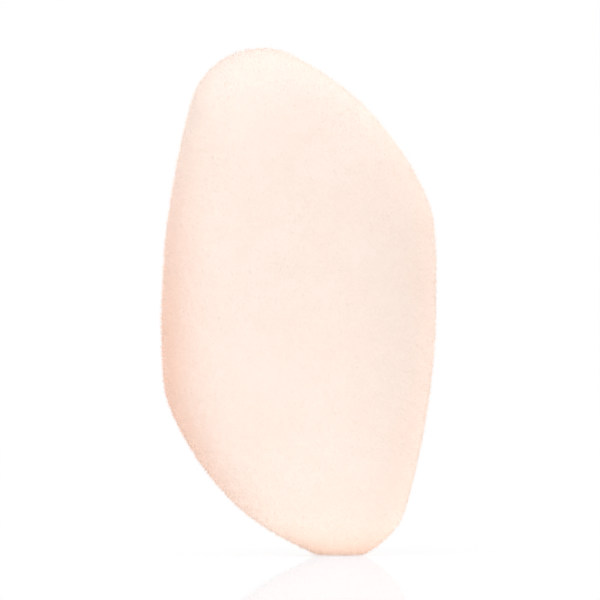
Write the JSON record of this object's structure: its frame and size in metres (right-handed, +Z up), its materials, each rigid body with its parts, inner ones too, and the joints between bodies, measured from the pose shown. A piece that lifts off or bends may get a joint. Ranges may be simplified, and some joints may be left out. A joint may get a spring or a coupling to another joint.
{
  "type": "makeup sponge",
  "caption": "Soft flocked makeup sponge: a domed foam slab with bowed sides, slanted ends and a short velvety pile, whose faces press in and spring back to blend foundation or powder.",
  "frame": {"origin": "on the floor, under the middle of the sponge's width and thickness as it stands on its lower tip", "axes": "+Z up the sponge's length, +X across its width to the right seen from the front, +Y through its thickness from the front face to the back face"},
  "size_m": [0.039, 0.02, 0.0719],
  "materials": {
    "foam": "matte",
    "flock_adhesive": "matte",
    "flock": "matte"
  },
  "bodies": {
    "sponge_body": {"foam_core": "foam", "girth_adhesive": "flock_adhesive", "girth_flock": "flock"},
    "front_face": {"front_adhesive": "flock_adhesive", "front_flock": "flock"},
    "back_face": {"back_adhesive": "flock_adhesive", "back_flock": "flock"}
  },
  "joints": [
    {"name": "front_press", "type": "slide", "parent": "sponge_body", "child": "front_face", "axis": [0, 1, 0], "range_m": [0, 0.005], "stiffness_N_per_m": 80, "deforming": ["foam_core", "girth_adhesive", "girth_flock"]},
    {"name": "back_press", "type": "slide", "parent": "sponge_body", "child": "back_face", "axis": [0, -1, 0], "range_m": [0, 0.005], "stiffness_N_per_m": 80}
  ],
  "couplings": [
    {"joint": "back_press", "follows": "front_press", "ratio": 1}
  ]
}
